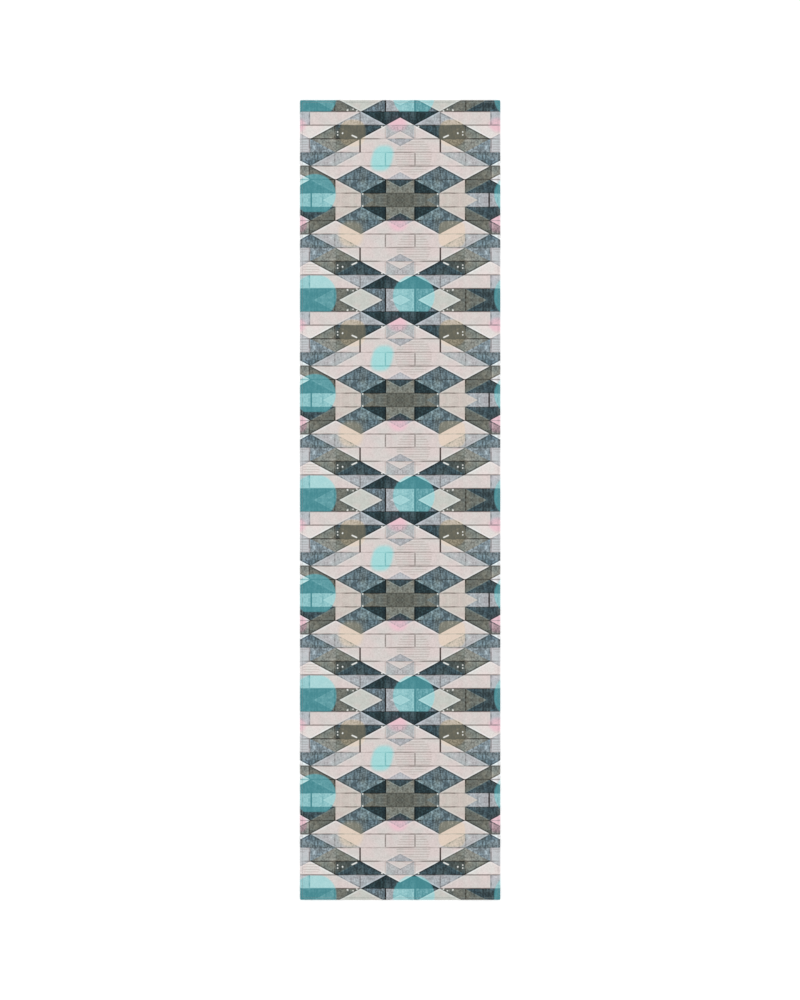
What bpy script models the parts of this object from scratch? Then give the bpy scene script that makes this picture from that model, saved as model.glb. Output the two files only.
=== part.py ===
"""Runner rug: a printed cloth turned under on four sides round a felt pad.

The cloth's turned hems leave a window underneath, which a grip backing fills flush. Two
bonding webs hold the pad to what lies above and below it. A row of lockstitch runs along
each side, one thread on the face and one underneath, and a thread closes each mitred corner.

Metres, +Z up. The rug lies on z = 0 with its centre at x = y = 0 and its length along Y.
"""

import math

import bmesh
import bpy
from mathutils import Vector

# Overall size, flat, over the folded edges
RUG_WIDTH = 0.610
RUG_LENGTH = 2.438

# Thickness of each layer
CLOTH_THICKNESS = 0.0022
WEB_THICKNESS = 0.0003
PAD_THICKNESS = 0.0028

# Hem, from the rolled edge inwards
SEAM_SETBACK = 0.0008  # flat cloth between the roll and the valley of the seam
VALLEY_SLOPE = 0.0006  # run of each sloping side of the valley that a seam pulls into the cloth
THREAD_DIAMETER = 0.0007
HEM_MARGIN = 0.0082  # turned cloth past the seam's valley, to the raw edge
MITRE_SETBACK = 0.0012  # turned cloth between the seam's valley and the groove along the mitre

# Clearance between pieces that touch
LAYER_GAP = 0.0003

# Facets
ROLL_SEGMENTS = 16
THREAD_SIDES = 8

# Worked out from the sizes above; an inset is a distance inwards from the rug's edge
RUG_THICKNESS = 2 * CLOTH_THICKNESS + PAD_THICKNESS + 2 * WEB_THICKNESS + 4 * LAYER_GAP
ROLL_RADIUS = RUG_THICKNESS / 2
VALLEY_DEPTH = THREAD_DIAMETER + LAYER_GAP
VALLEY_HALF_WIDTH = THREAD_DIAMETER / 2 + LAYER_GAP
VALLEY_BRINK = VALLEY_HALF_WIDTH + VALLEY_SLOPE
SEAM_INSET = ROLL_RADIUS + SEAM_SETBACK + VALLEY_BRINK
HEM_RETURN = SEAM_INSET + VALLEY_BRINK + HEM_MARGIN
MITRE_START = SEAM_INSET + VALLEY_BRINK + MITRE_SETBACK
THREAD_UNDERSIDE_Z = THREAD_DIAMETER / 2
THREAD_FACE_Z = RUG_THICKNESS - THREAD_DIAMETER / 2

# Colour as linear red, green, blue, then roughness
CLOTH_FINISH = ((0.42, 0.41, 0.40), 0.92)
WEB_FINISH = ((0.80, 0.80, 0.78), 0.60)
FELT_FINISH = ((0.30, 0.30, 0.31), 0.95)
BACKING_FINISH = ((0.22, 0.22, 0.23), 0.85)
THREAD_FINISH = ((0.52, 0.51, 0.49), 0.70)


def clear_scene():
    for old in list(bpy.data.objects):
        bpy.data.objects.remove(old, do_unlink=True)


def finish_material(name, finish):
    """A matte Principled material in one colour."""
    colour, roughness = finish
    material = bpy.data.materials.new(name)
    material.use_nodes = True
    shader = material.node_tree.nodes["Principled BSDF"]
    shader.inputs["Base Color"].default_value = (*colour, 1.0)
    shader.inputs["Roughness"].default_value = roughness
    shader.inputs["Metallic"].default_value = 0.0
    return material


def add_object(name, mesh_builder, material):
    """Turn a bmesh into a named object with one material."""
    bmesh.ops.recalc_face_normals(mesh_builder, faces=mesh_builder.faces)
    mesh = bpy.data.meshes.new(name)
    mesh_builder.to_mesh(mesh)
    mesh_builder.free()
    thing = bpy.data.objects.new(name, mesh)
    bpy.context.scene.collection.objects.link(thing)
    if material:
        thing.data.materials.append(material)
    return thing


def arc(centre_inset, centre_z, radius, start, end, segments):
    """Points (inset, z) on an arc; at 0 degrees it points to the middle of the rug, at 90 up."""
    steps = [math.radians(start + (end - start) * i / segments) for i in range(segments + 1)]
    return [(centre_inset + radius * math.cos(a), centre_z + radius * math.sin(a)) for a in steps]


def rim_solid(name, profile, material):
    """Carry a profile of (inset from the rug's edge, z) round the rectangle and cap both ends."""
    shape = bmesh.new()
    loops = []
    for inset, z in profile:
        x = RUG_WIDTH / 2 - inset
        y = RUG_LENGTH / 2 - inset
        corners = ((x, y), (-x, y), (-x, -y), (x, -y))
        loops.append([shape.verts.new((cx, cy, z)) for cx, cy in corners])
    for outer, inner in zip(loops, loops[1:]):
        for i in range(4):
            j = (i + 1) % 4
            shape.faces.new((outer[i], outer[j], inner[j], inner[i]))
    shape.faces.new(loops[0])
    shape.faces.new(loops[-1])
    return add_object(name, shape, material)


def tube(name, start, end, diameter, material):
    """A straight round bar between two points."""
    axis = Vector(end) - Vector(start)
    shape = bmesh.new()
    bmesh.ops.create_cone(
        shape,
        cap_ends=True,
        segments=THREAD_SIDES,
        radius1=diameter / 2,
        radius2=diameter / 2,
        depth=axis.length,
    )
    turn = axis.to_track_quat("Z", "Y").to_matrix().to_4x4()
    bmesh.ops.rotate(shape, verts=shape.verts, matrix=turn, cent=(0, 0, 0))
    middle = (Vector(start) + Vector(end)) / 2
    bar = add_object(name, shape, material)
    bar.location = middle
    bar.data.shade_smooth()
    bar.data.set_sharp_from_angle(angle=math.radians(50))
    return bar


def seam_valley(surface_z, into_cloth):
    """Points of the valley along a seam, from its inner side to its outer side."""
    floor_z = surface_z + into_cloth * VALLEY_DEPTH
    return [
        (SEAM_INSET + VALLEY_BRINK, surface_z),
        (SEAM_INSET + VALLEY_HALF_WIDTH, floor_z),
        (SEAM_INSET - VALLEY_HALF_WIDTH, floor_z),
        (SEAM_INSET - VALLEY_BRINK, surface_z),
    ]


def mitre_cutter(side_x, side_y):
    """The groove that a mitre's closing thread lies in, along the diagonal of one corner."""
    last = HEM_RETURN + VALLEY_DEPTH
    middle = (MITRE_START + last) / 2
    length = (last - MITRE_START) * math.sqrt(2)
    size = (length, 2 * VALLEY_HALF_WIDTH, 2 * VALLEY_DEPTH)
    shape = bmesh.new()
    bmesh.ops.create_cube(shape, size=1.0)
    bmesh.ops.scale(shape, vec=size, verts=shape.verts)
    cutter = add_object(f"mitre_cutter_{side_x}_{side_y}", shape, None)
    cutter.location = (side_x * (RUG_WIDTH / 2 - middle), side_y * (RUG_LENGTH / 2 - middle), 0)
    cutter.rotation_euler.z = math.atan2(side_y, side_x)
    cutter.hide_render = True
    cutter.display_type = "WIRE"
    return cutter


def make_face_cloth():
    """The printed cloth: flat on top, rolled over each edge, turned under to its raw edge."""
    outer_roll = arc(ROLL_RADIUS, ROLL_RADIUS, ROLL_RADIUS, 90, 270, ROLL_SEGMENTS)
    inner_radius = ROLL_RADIUS - CLOTH_THICKNESS
    inner_roll = arc(ROLL_RADIUS, ROLL_RADIUS, inner_radius, 270, 90, ROLL_SEGMENTS)
    profile = seam_valley(RUG_THICKNESS, -1)
    profile += outer_roll
    profile += reversed(seam_valley(0, 1))
    profile += [(HEM_RETURN, 0), (HEM_RETURN, CLOTH_THICKNESS)]
    profile += inner_roll
    cloth = rim_solid("printed_face_cloth", profile, finish_material("printed_pile", CLOTH_FINISH))
    for side_x in (-1, 1):
        for side_y in (-1, 1):
            groove = cloth.modifiers.new(f"mitre_{side_x}_{side_y}", "BOOLEAN")
            groove.operation = "DIFFERENCE"
            groove.solver = "EXACT"
            groove.object = mitre_cutter(side_x, side_y)
    return cloth


def make_layer(name, low_z, thickness, inset, material):
    """A flat sheet with square edges."""
    return rim_solid(name, [(inset, low_z + thickness), (inset, low_z)], material)


def make_webs_and_pad():
    """The pad nests in the roll of the cloth, with a bonding web under it and over it."""
    web_finish = finish_material("bonding_web", WEB_FINISH)
    lower_z = CLOTH_THICKNESS + LAYER_GAP
    make_layer("lower_bonding_web", lower_z, WEB_THICKNESS, ROLL_RADIUS, web_finish)
    upper_z = RUG_THICKNESS - lower_z - WEB_THICKNESS
    make_layer("upper_bonding_web", upper_z, WEB_THICKNESS, ROLL_RADIUS, web_finish)
    nose_radius = PAD_THICKNESS / 2
    nose_inset = CLOTH_THICKNESS + LAYER_GAP + nose_radius
    nose = arc(nose_inset, ROLL_RADIUS, nose_radius, 90, 270, ROLL_SEGMENTS // 2)
    rim_solid("felt_pad", nose, finish_material("grey_felt", FELT_FINISH))


def make_grip_backing():
    """The backing fills the window inside the hems and lies flush with them."""
    inset = HEM_RETURN + LAYER_GAP
    finish = finish_material("grip_backing", BACKING_FINISH)
    make_layer("grip_backing", 0, CLOTH_THICKNESS, inset, finish)


def make_seam_threads():
    """Long sides are sewn first; the end seams stop just short of them."""
    finish = finish_material("sewing_thread", THREAD_FINISH)
    side_x = RUG_WIDTH / 2 - SEAM_INSET
    end_y = RUG_LENGTH / 2 - SEAM_INSET
    end_x = side_x - THREAD_DIAMETER / 2 - LAYER_GAP
    runs = {
        "left": ((-side_x, -end_y), (-side_x, end_y)),
        "right": ((side_x, -end_y), (side_x, end_y)),
        "far": ((-end_x, end_y), (end_x, end_y)),
        "near": ((-end_x, -end_y), (end_x, -end_y)),
    }
    for side, (start, end) in runs.items():
        for kind, z in (("needle", THREAD_FACE_Z), ("bobbin", THREAD_UNDERSIDE_Z)):
            name = f"{kind}_thread_{side}"
            tube(name, (*start, z), (*end, z), THREAD_DIAMETER, finish)


def make_mitre_threads():
    """One short thread along the diagonal of each corner, from the seam to the raw edge."""
    finish = finish_material("mitre_thread", THREAD_FINISH)
    first = MITRE_START + LAYER_GAP
    last = HEM_RETURN - LAYER_GAP
    for side_x, across in ((-1, "left"), (1, "right")):
        for side_y, along in ((1, "far"), (-1, "near")):
            ends = []
            for inset in (first, last):
                x = side_x * (RUG_WIDTH / 2 - inset)
                y = side_y * (RUG_LENGTH / 2 - inset)
                ends.append((x, y, THREAD_UNDERSIDE_Z))
            tube(f"mitre_thread_{across}_{along}", *ends, THREAD_DIAMETER, finish)


def main():
    clear_scene()
    make_face_cloth()
    make_webs_and_pad()
    make_grip_backing()
    make_seam_threads()
    make_mitre_threads()


main()
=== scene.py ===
# %% [markdown]
# # A printed runner rug
# The rug is one low-pile polyester cloth, printed all over with a pattern of painted concrete
# blocks. The cloth is turned under on four sides and stitched down round a felt pad, and a
# grip backing fills the window that the hems leave underneath. This lesson lays out the
# print with shader arithmetic, builds every layer as a surface over a grid, and sews the
# seams stitch by stitch.

# %% Load the frame
import math

import bpy
import numpy as np
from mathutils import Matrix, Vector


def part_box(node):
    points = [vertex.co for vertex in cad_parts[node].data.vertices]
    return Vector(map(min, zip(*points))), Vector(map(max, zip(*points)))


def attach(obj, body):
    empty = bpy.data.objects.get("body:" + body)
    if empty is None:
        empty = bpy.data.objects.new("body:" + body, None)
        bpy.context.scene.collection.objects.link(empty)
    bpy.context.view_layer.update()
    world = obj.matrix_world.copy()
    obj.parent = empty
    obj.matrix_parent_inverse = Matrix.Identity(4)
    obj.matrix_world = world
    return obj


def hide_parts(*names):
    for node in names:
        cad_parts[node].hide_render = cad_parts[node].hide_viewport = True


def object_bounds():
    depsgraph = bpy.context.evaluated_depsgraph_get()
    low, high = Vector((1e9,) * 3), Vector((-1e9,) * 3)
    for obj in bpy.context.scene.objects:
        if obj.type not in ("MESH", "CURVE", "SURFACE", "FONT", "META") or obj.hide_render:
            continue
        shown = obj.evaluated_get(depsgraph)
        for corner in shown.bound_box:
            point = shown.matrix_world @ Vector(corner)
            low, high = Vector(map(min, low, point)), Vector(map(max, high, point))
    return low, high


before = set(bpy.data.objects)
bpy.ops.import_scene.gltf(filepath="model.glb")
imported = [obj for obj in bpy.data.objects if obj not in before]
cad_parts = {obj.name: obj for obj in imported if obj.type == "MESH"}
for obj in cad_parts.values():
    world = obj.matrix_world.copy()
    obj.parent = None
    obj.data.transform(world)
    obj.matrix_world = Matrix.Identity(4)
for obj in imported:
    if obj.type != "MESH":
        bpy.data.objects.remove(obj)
cad_low, cad_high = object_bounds()
print("CAD box", [round(v, 4) for v in cad_high - cad_low])

# %% [markdown]
# ## Sizes
# Nothing is measured by eye here. The rug's outline, the height of each layer, the line of
# each seam and the width of the hems all come from the solids of the frame, so the visible
# pieces fall where the solids are.

# %% Sizes from the frame
MM = 0.001
WIDTH, LENGTH, THICKNESS = cad_high - cad_low
ROLL_RADIUS = THICKNESS / 2

backing_low, backing_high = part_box("grip_backing")
pad_low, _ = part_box("felt_pad")
needle_low, needle_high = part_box("needle_thread_left")

CLOTH = backing_high.z - backing_low.z
THREAD = needle_high.z - needle_low.z
SEAM_INSET = (needle_low.x + needle_high.x) / 2 - cad_low.x
WINDOW_INSET = backing_low.x - cad_low.x
LAYER_GAP = (pad_low.x - cad_low.x) - CLOTH
HEM_RETURN = WINDOW_INSET - LAYER_GAP
for label, size in (("seam inset", SEAM_INSET), ("hem", HEM_RETURN), ("cloth", CLOTH)):
    print(label, round(size / MM, 2), "mm")

# %% [markdown]
# ## Camera, floor and light
# The rug is shown flat from straight above, so the camera looks down at it with the rug's
# length upright in the picture. A long lens keeps the sides parallel. The rug fills four
# fifths of the picture's height. Printed goods are judged by colour, so the light is a
# nearly even white dome with one large soft lamp almost overhead, which leaves the rolled
# edge and the seams only a faint shade.

# %% Camera
RUG_SHARE_OF_HEIGHT = 0.8
LENS_MM, SENSOR_MM = 85, 36
SIDE_STEP = -0.6 * MM
FAR_CLIP = 100

scene = bpy.context.scene
camera = bpy.data.objects.new("camera", bpy.data.cameras.new("camera"))
camera.data.lens = LENS_MM
camera.data.sensor_width = SENSOR_MM
view_height = LENGTH / RUG_SHARE_OF_HEIGHT
camera.location = (SIDE_STEP, 0, THICKNESS + view_height * LENS_MM / SENSOR_MM)
camera.data.clip_end = FAR_CLIP
scene.collection.objects.link(camera)
scene.camera = camera
print("camera", round(camera.location.z, 3), "m up")

# %% Tone, floor and lights
WORLD_STRENGTH = 0.94
LAMP_PLACE = (0.7, 0.9, 7.0)
LAMP_SIZE, LAMP_POWER = 4.0, 150
FLOOR_SIZE = 40
FLOOR_COLOUR = (0.96, 0.96, 0.96, 1)

scene.view_settings.view_transform = "Standard"
scene.view_settings.look = "None"


def new_material(name):
    """An empty node material, returned with its Principled shader."""
    material = bpy.data.materials.new(name)
    material.use_nodes = True
    return material, material.node_tree.nodes["Principled BSDF"]


def add_light(name, place, size, power):
    """A square soft lamp that faces the middle of the rug."""
    data = bpy.data.lights.new(name, "AREA")
    data.size = size
    data.energy = power
    lamp = bpy.data.objects.new(name, data)
    lamp.location = place
    lamp.rotation_euler = (-lamp.location).to_track_quat("-Z", "Y").to_euler()
    scene.collection.objects.link(lamp)


def add_floor():
    """A plain pale floor under the rug."""
    mesh = bpy.data.meshes.new("floor")
    half = FLOOR_SIZE / 2
    corners = [(-half, -half, 0), (half, -half, 0), (half, half, 0), (-half, half, 0)]
    mesh.from_pydata(corners, [], [(0, 1, 2, 3)])
    floor = bpy.data.objects.new("floor", mesh)
    material, shader = new_material("pale_floor")
    shader.inputs["Base Color"].default_value = FLOOR_COLOUR
    shader.inputs["Roughness"].default_value = 0.8
    shader.inputs["Specular IOR Level"].default_value = 0.0
    mesh.materials.append(material)
    scene.collection.objects.link(floor)


world = bpy.data.worlds.new("white dome")
world.use_nodes = True
dome = world.node_tree.nodes["Background"]
dome.inputs["Color"].default_value = (1, 1, 1, 1)
dome.inputs["Strength"].default_value = WORLD_STRENGTH
scene.world = world
add_floor()
add_light("soft lamp", LAMP_PLACE, LAMP_SIZE, LAMP_POWER)

# %% [markdown]
# ## Writing a shader as arithmetic
# The print is a drawing made of straight cuts, joints and discs. Drawn with shader nodes it
# stays sharp at any distance. Two small helpers let the drawing below be written as sums and
# comparisons: a plain sign between two shader values adds the node that does that sum.
# Lengths in the drawing are in repeats: the print repeats once for every width of the rug.

# %% Helpers for shader arithmetic


class Value:
    """A number, a place or a colour in a shader. Plain signs on it add nodes."""

    def __init__(self, graph, socket):
        self.graph = graph
        self.socket = socket

    def __add__(self, other):
        return self.graph.math("ADD", self, other)

    def __radd__(self, other):
        return self.graph.math("ADD", other, self)

    def __sub__(self, other):
        return self.graph.math("SUBTRACT", self, other)

    def __rsub__(self, other):
        return self.graph.math("SUBTRACT", other, self)

    def __mul__(self, other):
        return self.graph.math("MULTIPLY", self, other)

    def __truediv__(self, other):
        return self.graph.math("DIVIDE", self, other)

    def __pow__(self, other):
        return self.graph.math("POWER", self, other)

    def __mod__(self, other):
        return self.graph.math("FLOORED_MODULO", self, other)

    def __abs__(self):
        return self.graph.math("ABSOLUTE", self)


class Graph:
    """A new material. Each call adds a node to it and returns the node's output as a Value."""

    def __init__(self, name):
        self.material, self.shader = new_material(name)
        self.nodes = self.material.node_tree.nodes
        self.links = self.material.node_tree.links

    def feed(self, socket, value):
        """Link a Value into a socket, or write a plain number or colour on it."""
        if isinstance(value, Value):
            self.links.new(value.socket, socket)
        else:
            socket.default_value = value

    def node(self, kind, inputs, output=0, **settings):
        """A node of one kind, with its settings and what goes into its sockets."""
        made = self.nodes.new("ShaderNode" + kind)
        for setting, value in settings.items():
            setattr(made, setting, value)
        for socket, value in inputs.items():
            self.feed(made.inputs[socket], value)
        return Value(self, made.outputs[output])

    def math(self, operation, *values):
        """One arithmetic step on numbers."""
        return self.node("Math", dict(enumerate(values)), operation=operation)

    def least(self, a, b):
        return self.math("MINIMUM", a, b)

    def most(self, a, b):
        return self.math("MAXIMUM", a, b)

    def wave(self, value, pitch):
        """A sine wave, from -1 to 1, that repeats once in each pitch of the value."""
        return self.math("SINE", value * (2 * math.pi / pitch))

    def fade(self, value, start, end, low=0.0, high=1.0):
        """An S-curve from low at start to high at end, flat outside them."""
        inputs = dict(enumerate((value, start, end, low, high)))
        return self.node("MapRange", inputs, interpolation_type="SMOOTHSTEP")

    def pick(self, share, a, b):
        """Number a where share is 0 and number b where it is 1."""
        return a + share * (b - a)

    def blend(self, share, a, b, how="MIX"):
        """Colour a turned into colour b by a share."""
        return self.node("Mix", {0: share, 6: a, 7: b}, 2, data_type="RGBA", blend_type=how)

    def tinted(self, colour, tint):
        """A colour times a tint, channel by channel."""
        return self.blend(1.0, colour, tint, "MULTIPLY")

    def scaled(self, colour, factor):
        """A colour times a number."""
        plain = colour[:3] if isinstance(colour, tuple) else colour
        return self.node("VectorMath", {0: plain, "Scale": factor}, operation="SCALE")

    def brightness(self, colour):
        return self.node("RGBToBW", {0: colour})

    def ramp(self, value, stops, steps=False):
        """Colours along a scale. With steps each colour holds until the next one starts."""
        made = self.nodes.new("ShaderNodeValToRGB")
        scale = made.color_ramp
        scale.interpolation = "CONSTANT" if steps else "LINEAR"
        while len(scale.elements) < len(stops):
            scale.elements.new(1.0)
        for stop, (place, colour) in zip(scale.elements, stops):
            stop.position = place
            stop.color = colour
        self.feed(made.inputs[0], value)
        return Value(self, made.outputs["Color"]), Value(self, made.outputs["Alpha"])

    def point(self, x, y, z=0.0):
        return self.node("CombineXYZ", {0: x, 1: y, 2: z})

    def split(self, value, kind="XYZ"):
        """The three coordinates of a place, or the three channels of a colour."""
        made = self.nodes.new("ShaderNodeSeparate" + kind)
        self.feed(made.inputs[0], value)
        return [Value(self, output) for output in made.outputs]

    def map_of(self, name):
        """The two coordinates of a piece's own map."""
        return self.split(self.node("UVMap", {}, uv_map=name))[:2]

    def object_place(self):
        """A point's place on the piece, in metres."""
        return self.node("TexCoord", {}, "Object")

    def noise(self, place, scale, detail=2.0, rough=0.5):
        """Soft random clouds around 0.5: scale clouds to a unit, with finer ones by detail."""
        inputs = {"Vector": place, "Scale": scale, "Detail": detail, "Roughness": rough}
        return self.node("TexNoise", inputs, "Fac")

    def cells(self, place, scale):
        """Distance from the middle of the nearest of many scattered cells, and its colour."""
        made = self.nodes.new("ShaderNodeTexVoronoi")
        self.feed(made.inputs["Vector"], place)
        made.inputs["Scale"].default_value = scale
        return Value(self, made.outputs["Distance"]), Value(self, made.outputs["Color"])

    def finished(self, colour, height, strength, depth, roughness, specular=0.5):
        """Give the shader its colour, and a relief that stands out by depth metres."""
        inputs = {"Height": height, "Strength": strength, "Distance": depth}
        self.feed(self.shader.inputs["Base Color"], colour)
        self.feed(self.shader.inputs["Normal"], self.node("Bump", inputs, "Normal"))
        self.shader.inputs["Roughness"].default_value = roughness
        self.shader.inputs["Specular IOR Level"].default_value = specular
        return self.material


# %% [markdown]
# ## The print's repeat
# The real print is one square drawing, mirrored left to right and top to bottom and repeated
# down the rug. Folding the coordinates does the same: the distance from the repeat's centre
# line and from its middle band stand for the place, so one quarter is drawn and four appear.

# %% Lattice of the print, in repeats
COLUMN = 0.1265
ROW = 0.068
HALF_CENTRE_COLUMN = 0.070
HALF_MIDDLE_BAND = 0.03425
COLUMNS, ROWS = 5, 8
REPEATS = round(LENGTH / WIDTH)
REPEAT_LENGTH = LENGTH / REPEATS
print("repeats", REPEATS, "of", round(REPEAT_LENGTH, 4), "m")


def wrapped(value):
    """A distance across the repeat, taken the short way round."""
    return value - value.graph.math("ROUND", value)


def repeat_place(graph):
    """Place in the repeat, each way from -0.5 to 0.5, from the cloth's map in metres."""
    across, along = graph.map_of("cloth")
    return wrapped(across / WIDTH), graph.math("FRACT", along / REPEAT_LENGTH) - 0.5


def lattice_cell(graph, out, up):
    """Number of the column and row of a folded place, and the place inside that cell."""
    column = (out - HALF_CENTRE_COLUMN) / COLUMN
    row = (up - HALF_MIDDLE_BAND) / ROW
    column_number = graph.math("FLOOR", column)
    row_number = graph.math("FLOOR", row)
    return column_number, row_number, column - column_number, row - row_number


# %% [markdown]
# ## Inks and facets
# Each cell of the lattice is cut once from corner to corner into two facets. The list gives
# the cells of one quarter, a line for each row from the middle band outwards and an item for
# each column from the centre line to the side. An item names the ink beyond the cut and the
# ink before it. Between them, > is a cut that climbs away from the centre line and < is one
# that falls away from it. A final ! marks a cell whose upright joint is an open one.

# %% Inks


def ink(code, alpha=1.0):
    """A colour as a screen shows it, in hexadecimal, turned into light."""
    shown = [int(code[i : i + 2], 16) / 255 for i in (0, 2, 4)]
    light = [v / 12.92 if v <= 0.04045 else ((v + 0.055) / 1.055) ** 2.4 for v in shown]
    return (*light, alpha)


INKS = {
    "white": "dde0e1",
    "chalk": "e0dad7",
    "pale": "d6cecb",
    "blush": "d4ccc9",
    "warm": "c8c8c2",
    "beige": "cac2bb",
    "cloud": "c3c6ca",
    "lilac": "b9bcc2",
    "dove": "b8b9b8",
    "pewter": "b2b5b7",
    "silver": "a9aeb3",
    "ash": "8a8d87",
    "haze": "81919a",
    "lichen": "7c7f77",
    "moss": "6a6f6a",
    "peat": "696c65",
    "coal": "5c605a",
    "rain": "667274",
    "shade": "485150",
    "mist": "6b7e83",
    "steel": "617279",
    "fjord": "697a84",
    "harbour": "3c4c52",
    "navy": "38494f",
    "deep": "25383e",
}

FACETS = [
    "coal>coal peat>rain beige>beige silver<beige! silver>lilac!",
    "harbour>lichen mist<deep steel>beige peat>harbour white<harbour",
    "pale<lilac pale>steel pale<steel pale>peat ash>white",
    "pale>blush pale>blush pewter<pale steel<pewter fjord>white",
    "silver>blush pale>pale! lichen<pale! ash>haze cloud>cloud",
    "pewter<blush navy<pale navy>shade chalk<lichen chalk>cloud",
    "navy<pale deep>silver pale<silver pale>pale lilac>cloud",
    "cloud>silver! warm<fjord! warm>moss peat>navy navy>navy",
]


def facet_stops(side):
    """Two scales of stops, half the rows each: the inks on one side of the cuts.

    On side 0 a stop's alpha is 1 where the cut climbs. On side 1 it is 1 where the cell's
    upright joint is open.
    """
    items = [item for row in FACETS for item in row.split()]
    stops = []
    half = len(items) // 2
    for number, item in enumerate(items):
        climbs = ">" in item
        name = item.strip("!").split(">" if climbs else "<")[side]
        mark = "!" in item if side else climbs
        stops.append(((number % half) / half, ink(INKS[name], float(mark))))
    return stops[:half], stops[half:]


print(len(INKS), "inks on", COLUMNS * ROWS, "cells")

# %% Look up the two inks of a cell


def cell_inks(graph, column_number, row_number, side):
    """The ink on one side of the cell's cut, and the mark that its stop carries.

    The centre column and the middle band are numbered -1, so 1 is added to both numbers. The
    half added on top lands in the middle of a stop.
    """
    lower, upper = facet_stops(side)
    number = (row_number + 1.0) * COLUMNS + column_number + 1.5
    half = COLUMNS * ROWS / 2
    low_colour, low_mark = graph.ramp(number / half, lower, steps=True)
    high_colour, high_mark = graph.ramp((number - half) / half, upper, steps=True)
    is_upper = graph.math("GREATER_THAN", number, half)
    colour = graph.blend(is_upper, low_colour, high_colour)
    return colour, graph.pick(is_upper, low_mark, high_mark)


# %% [markdown]
# ## Cuts and joints
# Where a pale facet meets a dark one, the painted edge is a little brighter on the pale side
# and darker on the dark side. The blocks are laid in running bond, so an upright joint stands
# at every second column line, one step over in the next row. Both are distances to a line,
# turned into a soft band.

# %% Facets, cut edges and joints
CUT_SOFTNESS = 0.0022
EDGE_WIDTH = 0.0100
EDGE_STRENGTH = 1.50
RIDGE_WIDTH, RIDGE_LIFT = 0.0048, 0.36
FULL_BRIGHTNESS, HEADROOM_SHARE = 1.12, 0.84
COOL_TINT = (0.95, 1.01, 1.04, 1.0)
JOINT_CORE, JOINT_WIDTH = 0.0006, 0.0060
OPEN_CORE, OPEN_WIDTH = 0.0017, 0.0060
LIP_WIDTH, LIP_LIFT = 0.0120, 0.08
UPRIGHT_SHIFT, MIDDLE_UPRIGHT_SHIFT = 0.0040, -0.0050
WEAR_ACROSS, WEAR_ALONG = 7.0, 22.0
PAINT_IN_JOINT = 0.55
JOINT_SHADE = (0.20, 0.17, 0.16, 1.0)
OPEN_SHADE = (0.10, 0.07, 0.065, 1.0)
CELL_SLANT = ROW * COLUMN / math.hypot(ROW, COLUMN)


def faceted_colour(graph, cell):
    """Mix the two inks of a cell across its cut, with a bright, cool edge and a dark edge.

    The edge is stronger where the inks differ more, and a bright edge is held back where the
    ink is near white already. Between two dark inks a thin pale ridge is left.
    """
    column_number, row_number, a, b = cell
    away, climbs = cell_inks(graph, column_number, row_number, 0)
    near, _ = cell_inks(graph, column_number, row_number, 1)
    away_bright, near_bright = graph.brightness(away), graph.brightness(near)
    past_cut = (b - graph.pick(climbs, 1.0 - a, a)) * CELL_SLANT
    share = graph.fade(past_cut, -CUT_SOFTNESS, CUT_SOFTNESS)
    colour = graph.blend(share, near, away)
    signed = (away_bright - near_bright) * (share * 2.0 - 1.0)
    headroom = (FULL_BRIGHTNESS - graph.brightness(colour)) * HEADROOM_SHARE
    lift = graph.pick(graph.math("GREATER_THAN", signed, 0.0), 1.0, headroom) * signed
    band = graph.fade(abs(past_cut), 0.0, EDGE_WIDTH, 1.0, 0.0)
    ridge = graph.fade(abs(past_cut), 0.0, RIDGE_WIDTH, 1.0, 0.0)
    both_dark = graph.fade(away_bright + near_bright, 0.2, 0.6, 1.0, 0.0)
    lift = lift * (band * EDGE_STRENGTH) + ridge * both_dark * RIDGE_LIFT
    lifted = graph.scaled(colour, lift + 1.0)
    return graph.blend(graph.fade(lift, 0.0, 0.25), lifted, graph.tinted(lifted, COOL_TINT))


def blueness(graph, colour):
    """1 where the ink's blue is well above its red, 0 where they are alike."""
    red, _, blue = graph.split(colour, "Color")
    return graph.fade(blue / (red + 0.005), 1.05, 1.6)


def joint_band(graph, distance, core, width):
    """1 within the core of a joint, fading to 0 beside it."""
    return graph.fade(distance, core, width, 1.0, 0.0)


def jointed_colour(graph, colour, out, up):
    """Darken the colour along the joints and brighten a thin lip beside them.

    The uprights stand a little outside the facets' corners, and inside them in the middle band.
    Middling blue paint is laid thick enough to half fill the joints.
    """
    is_middle = graph.math("LESS_THAN", up, HALF_MIDDLE_BAND)
    shift = graph.pick(is_middle, UPRIGHT_SHIFT, MIDDLE_UPRIGHT_SHIFT)
    column_number, row_number, a, b = lattice_cell(graph, out - shift, up)
    _, is_open = cell_inks(graph, column_number, row_number, 1)
    level = graph.least(b, 1.0 - b) * ROW
    upright = graph.pick((column_number + row_number) % 2.0, a, 1.0 - a) * COLUMN
    nearest = graph.least(level, upright)
    bright = graph.brightness(colour)
    place = graph.point(out * WEAR_ACROSS, up * WEAR_ALONG, 1.7)
    worn = graph.fade(graph.noise(place, 1.0, 3.0, 0.6), 0.36, 0.64, 0.35, 1.30)
    filled = blueness(graph, colour) * graph.fade(bright, 0.09, 0.15) * PAINT_IN_JOINT
    worn = graph.least(worn * (1.0 - filled), 1.0)
    plain = joint_band(graph, nearest, JOINT_CORE, JOINT_WIDTH) * worn
    opened = joint_band(graph, upright, OPEN_CORE, OPEN_WIDTH) * is_open
    depth = graph.fade(bright, 0.05, 0.60, 0.95, 0.80)
    lip = joint_band(graph, nearest, JOINT_CORE, LIP_WIDTH) * (1.0 - plain)
    colour = graph.scaled(colour, lip * LIP_LIFT + 1.0)
    colour = graph.blend(plain * depth, colour, graph.tinted(colour, JOINT_SHADE))
    return graph.blend(opened, colour, graph.tinted(colour, OPEN_SHADE))


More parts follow.
